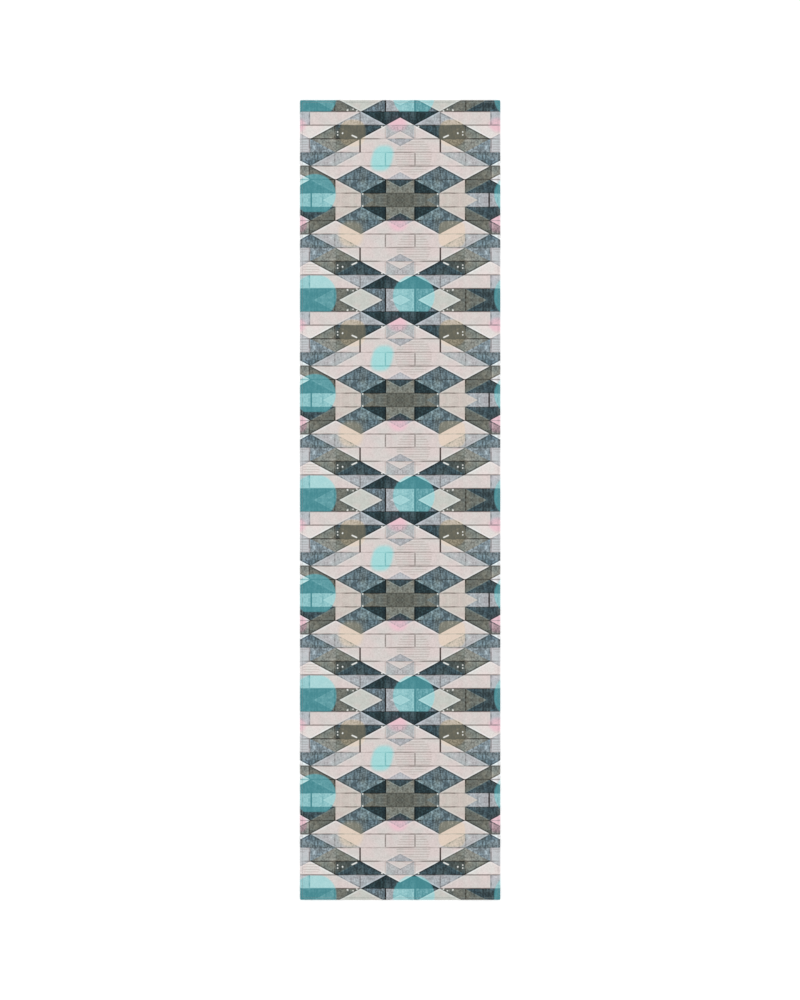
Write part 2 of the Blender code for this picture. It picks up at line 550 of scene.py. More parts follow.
# %% [markdown]
# ## Concrete under the paint
# The dark facets look like paint rubbed thin on concrete: broad clouds, upright streaks and
# a fine grain. The pale ones are almost plain. So each pattern's strength follows how dark
# the ink is. All of them read the folded place, which mirrors them as the print does.

# %% Clouds, streaks and grain
CLOUD_SCALE, CLOUD_STRENGTH = 34.0, 0.95
GRAIN_SCALE, GRAIN_STRENGTH = 120.0, 1.15
STREAKS_ACROSS, STREAKS_ALONG, STREAK_STRENGTH = 100.0, 22.0, 0.95
LEAST_STREAK = 0.30
GREY_SHARE, BLUE_EXTRA = 0.88, 0.42
DARKEST_CHANGE = -0.42
WARMTH_SCALE = 15.0
PALE_TINTS = (1.035, 0.98, 0.985, 1.0), (0.975, 1.01, 1.0, 1.0)
DARK_TINTS = (1.09, 1.01, 0.945, 1.0), (0.92, 0.995, 1.045, 1.0)


def weathered_colour(graph, colour, folded, out, up):
    """Vary the brightness of the ink by clouds, streaks and grain, and its warmth a little.

    Blue and black paint is rubbed thinner than grey, so bluer ink varies more.
    """
    bright = graph.brightness(colour)
    rubbed = blueness(graph, colour)
    clouds = graph.noise(folded, CLOUD_SCALE, 3.0) - 0.5
    grain = graph.noise(folded, GRAIN_SCALE, 1.0) - 0.5
    stretched = graph.point(out * STREAKS_ACROSS, up * STREAKS_ALONG, 3.0)
    streaks = (graph.noise(stretched, 1.0) - 0.5) * STREAK_STRENGTH
    rough = clouds * CLOUD_STRENGTH + grain * GRAIN_STRENGTH + streaks * (rubbed + LEAST_STREAK)
    strength = graph.fade(bright, 0.28, 0.60, 1.8, 0.25) * (rubbed * BLUE_EXTRA + GREY_SHARE)
    warmth = graph.fade(graph.noise(folded, WARMTH_SCALE, 4.0), 0.34, 0.66)
    pale_tint = graph.blend(warmth, *PALE_TINTS)
    dark_tint = graph.blend(warmth, *DARK_TINTS)
    dark = graph.fade(bright, 0.15, 0.5, 1.0, 0.0)
    colour = graph.tinted(colour, graph.blend(dark, pale_tint, dark_tint))
    return graph.scaled(colour, graph.most(rough * strength, DARKEST_CHANGE) + 1.0)


# %% [markdown]
# ## Paint dabs
# A few short white strokes lie on the blocks. Each is a line between two ends, and a place
# is on the stroke where its distance to the nearest point of that line is under the half
# width.

# %% White dabs
# two ends (out from the centre line, up from the middle band), and half width, in repeats
DABS = [
    ((0.3125, 0.341), (0.3125, 0.340), 0.0030),
    ((0.3125, 0.326), (0.3125, 0.325), 0.0030),
    ((0.2875, 0.335), (0.2880, 0.333), 0.0034),
    ((0.2400, 0.323), (0.2180, 0.313), 0.0032),
    ((0.1875, 0.0300), (0.1875, 0.0295), 0.0034),
    ((0.2150, 0.4465), (0.2180, 0.4450), 0.0026),
    ((0.2350, 0.4540), (0.2360, 0.4530), 0.0026),
    ((0.2620, 0.4500), (0.2640, 0.4490), 0.0034),
    ((0.0900, 0.3680), (0.0930, 0.3660), 0.0026),
]
DAB_SOFTNESS = 0.0025
DAB_WHITE = ink("eceeea")


def dab_mask(graph, out, up):
    """1 on the white dabs. Distance to a stroke is measured to its nearest point."""
    nearest = None
    for start, end, half_width in DABS:
        run = (end[0] - start[0], end[1] - start[1])
        squared = run[0] ** 2 + run[1] ** 2
        from_x, from_y = out - start[0], up - start[1]
        along = from_x * (run[0] / squared) + from_y * (run[1] / squared)
        along = graph.least(graph.most(along, 0.0), 1.0)
        gap_x = from_x - along * run[0]
        gap_y = from_y - along * run[1]
        past = graph.math("SQRT", gap_x * gap_x + gap_y * gap_y) - half_width
        nearest = past if nearest is None else graph.least(nearest, past)
    return graph.fade(nearest, -DAB_SOFTNESS, DAB_SOFTNESS, 1.0, 0.0)


# %% [markdown]
# ## Coloured discs
# Thin washes of colour lie over the facets: teal, a small cyan one, pink, brown and peach.
# A wash keeps the light and dark of what is under it, so each is a scale from its colour
# over dark paint to its colour over pale paint. The teal ones are cut off flat at a joint.
# The discs were laid on by hand, so they aren't mirrored exactly.

# %% Discs
TEAL = [("458a92", 0.03), ("63a2a9", 0.17), ("8dc5c9", 0.42), ("a6d6d8", 0.62), ("c0e4e4", 0.80)]
CYAN = [("6fb7b9", 0.17), ("9fd8d8", 0.60), ("aadede", 0.80)]
PINK = [("303a41", 0.04), ("5e5a62", 0.12), ("9b8088", 0.22), ("d2b5bf", 0.45), ("eac0cb", 0.60)]
BROWN = [("5f6056", 0.04), ("77715f", 0.16), ("a99f8b", 0.30), ("e0d1c2", 0.62)]
PEACH = [("7d7d71", 0.16), ("a09d8e", 0.30), ("d6c8b8", 0.50), ("e2cfbe", 0.62)]
FULL = (-1.0, 1.0)
WASH_STRENGTH = 0.94

# name: wash, centre across and up, half width and height, lean, squareness (2 is round),
# softness of the edge, and the lowest and highest edge from the centre
DISCS = {
    "side teal": (TEAL, -0.426, 0.028, 0.104, 0.102, 0.0, 2.0, 0.004, (-0.0875, 1.0)),
    "lower side teal": (TEAL, -0.425, -0.480, 0.106, 0.106, 0.0, 2.2, 0.005, (-0.0775, 0.1025)),
    "centre teal": (TEAL, 0.068, -0.480, 0.104, 0.104, 0.0, 2.0, 0.004, (-0.0775, 0.0985)),
    "cyan": (CYAN, -0.090, 0.2085, 0.0525, 0.063, 0.20, 2.7, 0.011, FULL),
    "roof pink": (PINK, -0.014, 0.383, 0.046, 0.036, 0.0, 2.0, 0.014, FULL),
    "low pink": (PINK, -0.010, -0.118, 0.043, 0.036, 0.0, 2.0, 0.014, FULL),
    "edge pink": (PINK, 0.486, 0.376, 0.040, 0.034, 0.0, 2.0, 0.012, FULL),
    "low edge pink": (PINK, 0.489, -0.120, 0.044, 0.044, 0.0, 2.4, 0.009, FULL),
    "left brown": (BROWN, -0.2375, 0.335, 0.065, 0.067, 0.0, 2.6, 0.006, FULL),
    "right brown": (BROWN, 0.2590, 0.335, 0.065, 0.067, 0.0, 2.6, 0.006, FULL),
    "left peach": (PEACH, -0.2460, -0.170, 0.060, 0.064, 0.0, 2.6, 0.014, FULL),
    "right peach": (PEACH, 0.2580, -0.170, 0.066, 0.065, 0.0, 4.0, 0.005, FULL),
}


def disc_mask(graph, x, y, centre, half, lean, power, softness, cut):
    """1 inside a leaning, more or less round shape and between its flat cuts.

    The shape holds every place whose two shares of the half sizes, each raised to the power,
    add up to less than 1.
    """
    from_x = wrapped(x - centre[0])
    from_y = wrapped(y - centre[1])
    share_x = abs((from_x - from_y * lean) / half[0]) ** power
    share_y = abs(from_y / half[1]) ** power
    past = ((share_x + share_y) ** (1 / power) - 1.0) * min(half)
    if cut != FULL:
        past = graph.most(past, graph.most(cut[0] - from_y, from_y - cut[1]))
    return graph.fade(past, -softness, softness, 1.0, 0.0)


def washed_colour(graph, colour, x, y):
    """Lay each disc's wash over the colour."""
    for wash, across, up, half_width, half_height, lean, power, softness, cut in DISCS.values():
        half = (half_width, half_height)
        mask = disc_mask(graph, x, y, (across, up), half, lean, power, softness, cut)
        stops = [(place, ink(code)) for code, place in wash]
        washed, _ = graph.ramp(graph.brightness(colour), stops)
        colour = graph.blend(mask * WASH_STRENGTH, colour, washed)
    return colour


# %% Ruled discs
RULE_PITCH = 0.0125
RULE_STRENGTH = 0.85
RULE_SHADE = (0.74, 0.71, 0.69, 1.0)
RULED_SOFTNESS = 0.003
# centre across and up, radius
RULED_DISCS = [
    (0.066, 0.218, 0.092),
    (0.066, -0.248, 0.084),
    (-0.445, -0.338, 0.042),
    (-0.500, 0.270, 0.043),
    (-0.500, -0.225, 0.043),
]


def ruled_colour(graph, colour, x, y):
    """Discs of fine level lines on the pale blocks, each line a thin darker stroke."""
    for centre_x, centre_y, radius in RULED_DISCS:
        centre, half = (centre_x, centre_y), (radius, radius)
        mask = disc_mask(graph, x, y, centre, half, 0.0, 2.0, RULED_SOFTNESS, FULL)
        line = graph.fade(graph.wave(y, RULE_PITCH), 0.0, 0.9)
        pale = graph.fade(graph.brightness(colour), 0.35, 0.55)
        share = mask * pale * (line * RULE_STRENGTH)
        colour = graph.blend(share, colour, graph.tinted(colour, RULE_SHADE))
    return colour


# %% [markdown]
# ## Pile
# The face is a close low pile. Its loops are too small to model one by one, so they are a
# bump: scattered round cells of about two millimetres, a finer grain, and shallow ribs along
# the weft. The same cells tint the ink a little, because the sides of a loop are in shade.

# %% The printed pile
TUFT_PITCH = 1.9 * MM
FIBRE_PITCH = 0.7 * MM
RIB_PITCH = 3.4 * MM


def pile_height(graph, across, along):
    """Height of the pile: a dome on each loop, with grain and weft ribs."""
    place = graph.point(across, along)
    distance, tint = graph.cells(place, 1 / TUFT_PITCH)
    dome = 1.0 - distance
    grain = graph.noise(place, 1 / FIBRE_PITCH, 2.0, 0.6)
    return dome * 0.7 + grain * 0.35 + graph.wave(along, RIB_PITCH) * 0.10, dome, tint


def print_colour(graph):
    """The whole drawing, from facets to dabs."""
    x, y = repeat_place(graph)
    out, up = abs(x), abs(y)
    colour = faceted_colour(graph, lattice_cell(graph, out, up))
    colour = weathered_colour(graph, colour, graph.point(out, up), out, up)
    colour = jointed_colour(graph, colour, out, up)
    colour = washed_colour(graph, colour, x, y)
    colour = ruled_colour(graph, colour, x, y)
    return graph.blend(dab_mask(graph, out, up), colour, DAB_WHITE)


def make_printed_pile():
    """The cloth's material: print, pile relief and a little sheen."""
    graph = Graph("printed_pile")
    height, dome, tint = pile_height(graph, *graph.map_of("cloth"))
    shade = (dome * 0.15 + 0.77) * (graph.brightness(tint) * 0.06 + 0.97)
    graph.shader.inputs["Sheen Weight"].default_value = 0.05
    graph.shader.inputs["Sheen Roughness"].default_value = 0.6
    colour = graph.scaled(print_colour(graph), shade)
    return graph.finished(colour, height, 0.5, 0.4 * MM, roughness=0.9, specular=0.10)


printed_pile = make_printed_pile()
print("print drawn with", len(printed_pile.node_tree.nodes), "nodes")

# %% [markdown]
# ## The cloth
# The cloth is one sheet. From above, it runs flat to the edge, dips at the seam, rolls over
# the edge of the pad, comes back underneath and ends in a raw edge. That outline is the same
# all the way round, so it is drawn once, as an inset from the edge and a height, and carried
# round the rug. The corners turn a small radius.

# %% Grid lines and helpers for surfaces
GRID_PITCH = 8.0 * MM
CORNER_RADIUS = 3.0 * MM
RIM = 22 * MM
CORNER_STEPS = np.array([0, 0.75, 1.5, 2.25, 3.0, 4.5, 6.0, 8.5, 12.0]) * MM


def mesh_object(name, points, faces, material):
    """A smooth mesh from points and groups of faces, each group with one number of corners."""
    mesh = bpy.data.meshes.new(name)
    points = np.asarray(points, dtype=np.float32)
    sizes = np.concatenate([np.full(len(group), group.shape[1]) for group in faces])
    starts = np.concatenate([[0], np.cumsum(sizes)[:-1]])
    mesh.vertices.add(len(points))
    mesh.vertices.foreach_set("co", points.ravel())
    mesh.loops.add(int(sizes.sum()))
    mesh.loops.foreach_set("vertex_index", np.concatenate([g.ravel() for g in faces]))
    mesh.polygons.add(len(sizes))
    mesh.polygons.foreach_set("loop_start", starts)
    mesh.polygons.foreach_set("use_smooth", np.full(len(sizes), True))
    mesh.update(calc_edges=True)
    mesh.materials.append(material)
    made = bpy.data.objects.new(name, mesh)
    scene.collection.objects.link(made)
    return made


def corner_map(made, name, coordinates):
    """A map on a mesh, one pair of coordinates for each corner of each face."""
    layer = made.data.uv_layers.new(name=name)
    layer.uv.foreach_set("vector", np.asarray(coordinates, dtype=np.float32).ravel())


def loop_points(made):
    """The point number at each corner of each face."""
    numbers = np.empty(len(made.data.loops), dtype=np.int64)
    made.data.loops.foreach_get("vertex_index", numbers)
    return numbers


def grid_faces(numbers):
    """The four-cornered faces between the rows and columns of a table of point numbers."""
    a, b = numbers[:-1, :-1], numbers[1:, :-1]
    c, d = numbers[1:, 1:], numbers[:-1, 1:]
    return np.stack([a, b, c, d], axis=-1).reshape(-1, 4)


def ring_faces(numbers, turned=False):
    """The faces of a table whose last column joins its first. Turned ones face the other way."""
    faces = grid_faces(np.concatenate([numbers, numbers[:, :1]], axis=1))
    return faces[:, ::-1] if turned else faces


def side_lines(half):
    """Places of the grid lines from -1 to 1, even along the side and close at the corners."""
    reach = half - CORNER_STEPS[-1]
    steps = max(2, round(reach / GRID_PITCH))
    inner = np.linspace(0, reach, steps + 1)[:-1]
    positive = np.concatenate([inner, (half - CORNER_STEPS)[::-1]])
    return np.concatenate([-positive[:0:-1], positive]) / half


across_lines = side_lines(WIDTH / 2)
along_lines = side_lines(LENGTH / 2)
print("grid", len(across_lines), "by", len(along_lines))

# %% The rectangle that every outline is carried round


def unit_loop():
    """Points round the square from (-1, -1), anticlockwise, at the grid lines."""
    u, v = across_lines, along_lines
    low, right = np.stack([u, -np.ones_like(u)], 1)[:-1], np.stack([np.ones_like(v), v], 1)[:-1]
    high = np.stack([u[::-1], np.ones_like(u)], 1)[:-1]
    left = np.stack([-np.ones_like(v), v[::-1]], 1)[:-1]
    return np.concatenate([low, right, high, left])


def loop_numbers():
    """For each point of the loop, its column and row in the panel's grid."""
    n, m = len(across_lines), len(along_lines)
    columns = [np.arange(n - 1), np.full(m - 1, n - 1), np.arange(n - 1, 0, -1), np.zeros(m - 1)]
    rows = [np.zeros(n - 1), np.arange(m - 1), np.full(n - 1, m - 1), np.arange(m - 1, 0, -1)]
    return np.concatenate(columns).astype(int), np.concatenate(rows).astype(int)


def rounded(x, y, half_x, half_y, radius):
    """Move points in the corner squares of a rectangle so that its corners become arcs.

    In a corner square the place is measured from the square's inner corner. It is scaled by
    its larger coordinate over its length, which sends the square's edge to a circle.
    """
    over_x = np.abs(x) - (half_x - radius)
    over_y = np.abs(y) - (half_y - radius)
    inside = (over_x > 0) & (over_y > 0)
    length = np.hypot(over_x, over_y)
    ratio = np.where(inside, np.maximum(over_x, over_y) / np.where(inside, length, 1), 1)
    new_x = np.where(inside, half_x - radius + over_x * ratio, np.abs(x))
    new_y = np.where(inside, half_y - radius + over_y * ratio, np.abs(y))
    return np.sign(x) * new_x, np.sign(y) * new_y


def carried(inset, radius, width=WIDTH, length=LENGTH):
    """The loop at an inset from a rectangle's edge: one row of x and y for each inset."""
    loop = unit_loop()
    half_x = (width / 2 - inset)[:, None]
    half_y = (length / 2 - inset)[:, None]
    x, y = half_x * loop[:, 0], half_y * loop[:, 1]
    return rounded(x, y, half_x, half_y, radius[:, None])


# %% [markdown]
# ## The outline of the edge
# The needle pulls the cloth into a shallow valley on the face and another underneath. Between
# them lies the roll. The distance along the outline is kept too, because the print was
# made on the flat cloth: it runs on over the roll and under the rug by that distance.

# %% Outline of the edge
VALLEY_DEPTH = 0.8 * MM
VALLEY_WIDTH = 1.5 * MM
VALLEY_END = 11.5 * MM
CUT_BEVEL = 0.4 * MM
LINING_CLEARANCE = 0.5 * MM


def valley(inset):
    """Depth of the seam's valley, a bell centred on the seam."""
    return VALLEY_DEPTH * np.exp(-(((inset - SEAM_INSET) / VALLEY_WIDTH) ** 2))


def outer_outline():
    """Inset and height of the printed side: over the face, round the roll, back underneath."""
    face = np.concatenate([[RIM, 18 * MM, 14 * MM], np.linspace(VALLEY_END, ROLL_RADIUS, 15)])
    turn = np.linspace(0, math.pi, 17)[1:-1]
    under = np.concatenate([np.linspace(ROLL_RADIUS, VALLEY_END, 13), [HEM_RETURN - 1.5 * MM]])
    cut = np.array([[HEM_RETURN - CUT_BEVEL, 0.2 * MM], [HEM_RETURN, 0.8 * MM]])
    roll = ROLL_RADIUS * (1 - np.sin(turn))
    inset = np.concatenate([face, roll, under, cut[:, 0]])
    heights = [THICKNESS - valley(face), ROLL_RADIUS * (1 + np.cos(turn)), valley(under)]
    return inset, np.concatenate([*heights, cut[:, 1]])


def inner_outline():
    """Inset and height of the cloth's back: from the cut edge, round the pad, to the rim."""
    cut = np.array([[HEM_RETURN, CLOTH - 0.5 * MM], [HEM_RETURN - CUT_BEVEL, CLOTH]])
    lining_start = ROLL_RADIUS + LINING_CLEARANCE
    back = np.linspace(HEM_RETURN - 2 * MM, lining_start, 6)
    turn = np.linspace(math.pi, 0, 9)
    inner_radius = ROLL_RADIUS - CLOTH
    over = np.array([lining_start, SEAM_INSET, 9 * MM, 14 * MM, RIM])
    inset = np.concatenate([cut[:, 0], back, ROLL_RADIUS - inner_radius * np.sin(turn), over])
    roll = ROLL_RADIUS + inner_radius * np.cos(turn)
    top = np.full(len(over), THICKNESS - CLOTH)
    return inset, np.concatenate([cut[:, 1], np.full(len(back), CLOTH), roll, top])


def length_along(inset, height):
    """Distance along an outline from its first point."""
    steps = np.hypot(np.diff(inset), np.diff(height))
    return np.concatenate([[0], np.cumsum(steps)])


outer_inset, outer_height = outer_outline()
inner_inset, inner_height = inner_outline()
outer_flat = RIM - length_along(outer_inset, outer_height)
inner_flat = outer_flat[-1] + length_along(inner_inset, inner_height)
FLAT_WIDTH, FLAT_LENGTH = WIDTH - 2 * outer_flat[-1], LENGTH - 2 * outer_flat[-1]
print("flat cloth", round(FLAT_WIDTH, 4), "by", round(FLAT_LENGTH, 4), "m")

# %% [markdown]
# ## Carrying the outline round
# A panel of squares fills the face inside the rim. The outline starts on the panel's border,
# so the mesh is one closed skin. A filled rug never lies dead flat, so the face also rises
# and falls by a few tenths of a millimetre.

# %% Surface of the cloth
WAVE_HEIGHT = 0.35 * MM
MITRE_DEPTH = 1.3 * MM
MITRE_WIDTH = 1.1 * MM
HALF_WIDTH_IN_SQUARE = 0.485
SQUARE_MARGIN = 0.004
BACK_LENGTH_IN_SQUARE, BACK_WIDTH_IN_SQUARE = 0.98, 0.05
BACK_MIDDLE_IN_SQUARE = 0.962
A_HAIR = 1e-6


def waves(x, y):
    """How far the face sinks at a place: three crossing waves, from nothing to the full height."""
    one = np.sin(x * 17 + y * 5 + 0.6)
    two = np.sin(x * -9 + y * 11 + 2.1)
    three = np.sin(x * 31 + y * -23 + 4.0)
    total = 0.5 * one + 0.3 * two + 0.2 * three
    return WAVE_HEIGHT * (0.5 + 0.5 * total)


def mitre_fold(inset, height):
    """How far the underside rises into the crease where two hems meet at a corner."""
    loop = np.abs(unit_loop())
    from_corner = np.hypot((1 - loop[:, 0]) * WIDTH / 2, (1 - loop[:, 1]) * LENGTH / 2)
    crease = MITRE_DEPTH * np.exp(-((from_corner / MITRE_WIDTH) ** 2))
    under = np.clip((inset - ROLL_RADIUS) / (3 * MM), 0, 1) * (height < CLOTH * 0.45)
    return under[:, None] * crease


def cloth_surface():
    """Points, faces and flat places of the cloth, and the number of the first point of its back.

    A panel covers the face inside the rim. The outline follows as rings, one for each inset,
    from the first ring past the rim to the last, which the back lining closes.
    """
    n, m = len(across_lines), len(along_lines)
    loop = unit_loop()
    grid_x, grid_y = np.meshgrid(across_lines, along_lines, indexing="ij")
    face_x, face_y = grid_x * (WIDTH / 2 - RIM), grid_y * (LENGTH / 2 - RIM)
    face = np.stack([face_x, face_y, THICKNESS - waves(face_x, face_y)], -1).reshape(-1, 3)
    inset = np.concatenate([outer_inset[1:], inner_inset])
    height = np.concatenate([outer_height[1:], inner_height])
    flat = np.concatenate([outer_flat[1:], inner_flat])
    radius = np.clip(1.4 * CORNER_RADIUS - 0.5 * inset, 0, CORNER_RADIUS)
    x, y = carried(inset, radius)
    on_face = (height > THICKNESS - CLOTH * 0.9) & (np.arange(len(inset)) < len(outer_inset))
    fade = np.where(on_face, np.clip((inset - SEAM_INSET) / (RIM - SEAM_INSET), 0, 1), 0)
    z = height[:, None] - waves(x, y) * fade[:, None] + mitre_fold(inset, height)
    ring = np.stack([x, y, z], -1)
    numbers = n * m + np.arange(ring.shape[0] * ring.shape[1]).reshape(ring.shape[:2])
    flat_x = (WIDTH / 2 - flat)[:, None] * loop[:, 0]
    flat_y = (LENGTH / 2 - flat)[:, None] * loop[:, 1]
    places = np.concatenate([face[:, :2], np.stack([flat_x, flat_y], -1).reshape(-1, 2)])
    points = np.concatenate([face, ring.reshape(-1, 3)])
    panel_numbers = np.arange(n * m).reshape(n, m)
    border = panel_numbers[loop_numbers()]
    panel = grid_faces(panel_numbers)
    skirt = ring_faces(np.concatenate([border[None], numbers]))
    lining = numbers[-1][::-1][None]
    back_from = n * m + (len(outer_inset) - 1) * len(loop)
    return points, [panel, skirt, lining], places, back_from


def bake_places(places, is_back):
    """Flat places laid out in a unit square.

    The far and the near half of the face stand side by side, and the back lies along the top
    on a smaller scale, because nothing is printed on it.
    """
    scale = HALF_WIDTH_IN_SQUARE / FLAT_WIDTH
    x, y = places[:, 0], places[:, 1]
    far = y > 0
    u = np.where(far, 0.75, 0.25) + x * scale
    v = np.where(far, SQUARE_MARGIN, SQUARE_MARGIN + scale * FLAT_LENGTH / 2) + y * scale
    back_u = 0.5 + BACK_LENGTH_IN_SQUARE * y / FLAT_LENGTH
    back_v = BACK_MIDDLE_IN_SQUARE + BACK_WIDTH_IN_SQUARE * x / FLAT_WIDTH
    return np.stack([np.where(is_back, back_u, u), np.where(is_back, back_v, v)], 1)


def face_of_corner(made):
    """The number of the face that each corner belongs to."""
    totals = np.empty(len(made.data.polygons), dtype=np.int64)
    made.data.polygons.foreach_get("loop_total", totals)
    return np.repeat(np.arange(len(totals)), totals)


def make_cloth():
    """The printed cloth with its rolled and returned hem.

    A face goes to the half in which its middle lies, so a corner on the line between the two
    halves is moved a hair into its own face's half.
    """
    points, faces, places, back_from = cloth_surface()
    cloth = mesh_object("printed_cloth", points, faces, printed_pile)
    corners, owner = loop_points(cloth), face_of_corner(cloth)
    at = places[corners]
    corner_map(cloth, "cloth", at)
    count = owner.max() + 1
    back = np.zeros(count, dtype=bool)
    np.logical_or.at(back, owner, corners >= back_from)
    middle = np.bincount(owner, at[:, 1], count) / np.bincount(owner, minlength=count)
    shown = at.copy()
    on_line = np.abs(at[:, 1]) < A_HAIR
    shown[:, 1] = np.where(on_line, np.sign(middle[owner]) * A_HAIR, at[:, 1])
    corner_map(cloth, "OFBake", bake_places(shown, back[owner]))
    return cloth


cloth = make_cloth()
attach(cloth, "root")
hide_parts("printed_face_cloth")
print("cloth", len(cloth.data.polygons), "faces")

# %% [markdown]
# ## Seams
# A lockstitch seam has a needle thread on the face and a bobbin thread underneath. Each
# stitch of it lies along the cloth and dives into it at both ends. So a thread is one line
# that sinks in a steep dip at every needle hole, with a round tube drawn along it.

# %% Tubes along a line
STITCH = 5.0 * MM
TUBE_SIDES = 6


def tube(path, radius):
    """Points and faces of a closed tube along a path, with capped ends.

    At each point of the path a circle stands across the path's direction. The circle's first
    axis is level, or points along x where the path is upright.
    """
    direction = np.gradient(path, axis=0)
    direction /= np.linalg.norm(direction, axis=1, keepdims=True)
    level = np.cross(direction, [0.0, 0.0, 1.0])
    size = np.linalg.norm(level, axis=1, keepdims=True)
    level = np.where(size > A_HAIR, level / np.maximum(size, A_HAIR), [1.0, 0.0, 0.0])
    upright = np.cross(level, direction)
    angle = np.linspace(0, 2 * math.pi, TUBE_SIDES, endpoint=False)
    around = np.cos(angle)[:, None] * level[:, None] + np.sin(angle)[:, None] * upright[:, None]
    points = (path[:, None] + radius * around).reshape(-1, 3)
    numbers = np.arange(len(points)).reshape(len(path), TUBE_SIDES)
    side = ring_faces(numbers, turned=True)
    return points, [side, numbers[0][None], numbers[-1][::-1][None]]


def seam_path(start, end, height, sink):
    """A stitched line: level between the needle holes and sunk at each one.

    Six points make a stitch, at fixed shares of its length. Sink is how far the thread goes
    at a hole, down from the face or up from underneath.
    """
    shares = np.array([0.0, 0.06, 0.18, 0.5, 0.82, 0.94])
    depths = np.array([1.0, 0.5, 0.06, 0.0, 0.06, 0.5])
    start, end = np.array(start), np.array(end)
    count = max(1, round(np.linalg.norm(end - start) / STITCH))
    place = (np.arange(count)[:, None] + shares).ravel() / count
    place = np.append(place, 1.0)
    line = start + place[:, None] * (end - start)
    depth = np.append(np.tile(depths, count), 1.0)
    return np.concatenate([line, (height + sink * depth)[:, None]], axis=1)


# %% [markdown]
# ## Thread
# Polyester thread is spun and twisted, so its plies lie in slanting ridges. Besides their
# bump, the ridges are painted lighter and the grooves darker, as painted light and shade in
# slanting bands. The grey lies between the light and dark inks, so it hardly shows on either.

# %% Thread material and the eight seams
TWIST_PITCH = 0.9 * MM


def make_thread_material(name, code):
    """Twisted thread: painted light and shade in slanting bands on its plies, and a soft shine."""
    graph = Graph(name)
    place = graph.object_place()
    x, y, z = graph.split(place)
    twist = graph.wave(x + y + z * 2, TWIST_PITCH)
    # painted light and shade: the twist's ridges are lighter and its grooves darker; the clouds are
    # the thread's own uneven tone
    light = twist * 0.08 + graph.noise(place, 1500.0) * 0.12 + 0.92
    return graph.finished(graph.scaled(ink(code), light), twist, 0.4, 0.1 * MM, roughness=0.55)


sewing_thread = make_thread_material("sewing_thread", "8f9697")
mitre_thread = make_thread_material("mitre_thread", "8b9191")
NEEDLE_HEIGHT = THICKNESS - VALLEY_DEPTH + 0.35 * THREAD
BOBBIN_HEIGHT = VALLEY_DEPTH - 0.35 * THREAD
HOLE_SINK = 1.5 * MM


def seam_ends():
    """The two ends of the seam on each side. Each stops a thread's width before the corner."""
    x, y = WIDTH / 2 - SEAM_INSET, LENGTH / 2 - SEAM_INSET
    return {
        "left": ((-x, -y + THREAD), (-x, y - THREAD)),
        "right": ((x, -y + THREAD), (x, y - THREAD)),
        "far": ((-x + THREAD, y), (x - THREAD, y)),
        "near": ((-x + THREAD, -y), (x - THREAD, -y)),
    }


for side, (start, end) in seam_ends().items():
    for kind, height, sink in (
        ("needle", NEEDLE_HEIGHT, -HOLE_SINK),
        ("bobbin", BOBBIN_HEIGHT, HOLE_SINK),
    ):
        points, faces = tube(seam_path(start, end, height, sink), THREAD / 2)
        thread = mesh_object(f"{kind}_seam_{side}", points, faces, sewing_thread)
        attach(thread, "root")
        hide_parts(f"{kind}_thread_{side}")

# %% [markdown]
# ## Corners
# Underneath, the two hems meet at each corner in a mitre. It is closed by hand with a whip
# stitch: the thread crosses the crease on the slant, goes under, and crosses it again.

# %% Whip stitches on the mitres
WHIP_PITCH = 1.7 * MM
WHIP_REACH = 1.1 * MM
WHIP_LOW, WHIP_RISE = 0.62 * MM, 0.45 * MM
WHIP_POINTS = 12
WHIP_START = SEAM_INSET + 3.2 * MM
WHIP_END = HEM_RETURN - 1.2 * MM


def whip_path(sign_x, sign_y):
    """A thread that swings across the crease and dips into the cloth at each turn."""
    turns = round((WHIP_END - WHIP_START) * math.sqrt(2) / WHIP_PITCH)
    t = np.linspace(0, turns, turns * WHIP_POINTS + 1)
    inset = WHIP_START + (WHIP_END - WHIP_START) * t / turns
    swing = WHIP_REACH * np.sin(2 * math.pi * t)
    lift = WHIP_LOW + WHIP_RISE * (np.sin(2 * math.pi * t) ** 2)
    x = sign_x * (WIDTH / 2 - inset - swing / math.sqrt(2))
    y = sign_y * (LENGTH / 2 - inset + swing / math.sqrt(2))
    return np.stack([x, y, lift], axis=1)


for sign_x, across in ((-1, "left"), (1, "right")):
    for sign_y, along in ((1, "far"), (-1, "near")):
        points, faces = tube(whip_path(sign_x, sign_y), THREAD / 2)
        whip = mesh_object(f"whip_stitch_{across}_{along}", points, faces, mitre_thread)
        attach(whip, "root")
        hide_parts(f"mitre_thread_{across}_{along}")

# %% [markdown]
# ## Layers inside
# The pad is needled felt, a soft slab with rounded edges. A thin web of glue holds it to the
# cloth above and to the hems below. All are plates: two flat faces and a rounded edge carried
# round the same loop. Their borders keep clear of the inside of the roll.

# %% Plates
NEEDLE_MARK_PITCH = 3.2 * MM
NET_PITCH = 2.4 * MM


def make_plate(name, low, high, material):
    """A flat closed plate in a box, with an edge rounded to half its thickness."""
    width, length, thickness = high.x - low.x, high.y - low.y, high.z - low.z
    radius = thickness / 2
    turn = np.linspace(0, math.pi, 7)
    inset = radius * (1 - np.sin(turn))
    height = low.z + radius * (1 + np.cos(turn))
    x, y = carried(inset, np.full(len(inset), CORNER_RADIUS / 2), width, length)
    z = np.broadcast_to(height[:, None], x.shape)
    points = np.stack([x, y, z], -1).reshape(-1, 3)
    numbers = np.arange(len(points)).reshape(x.shape)
    faces = [ring_faces(numbers), numbers[0][None], numbers[-1][::-1][None]]
    made = mesh_object(name, points, faces, material)
    corner_map(made, "plate", points[loop_points(made)][:, :2])
    return made


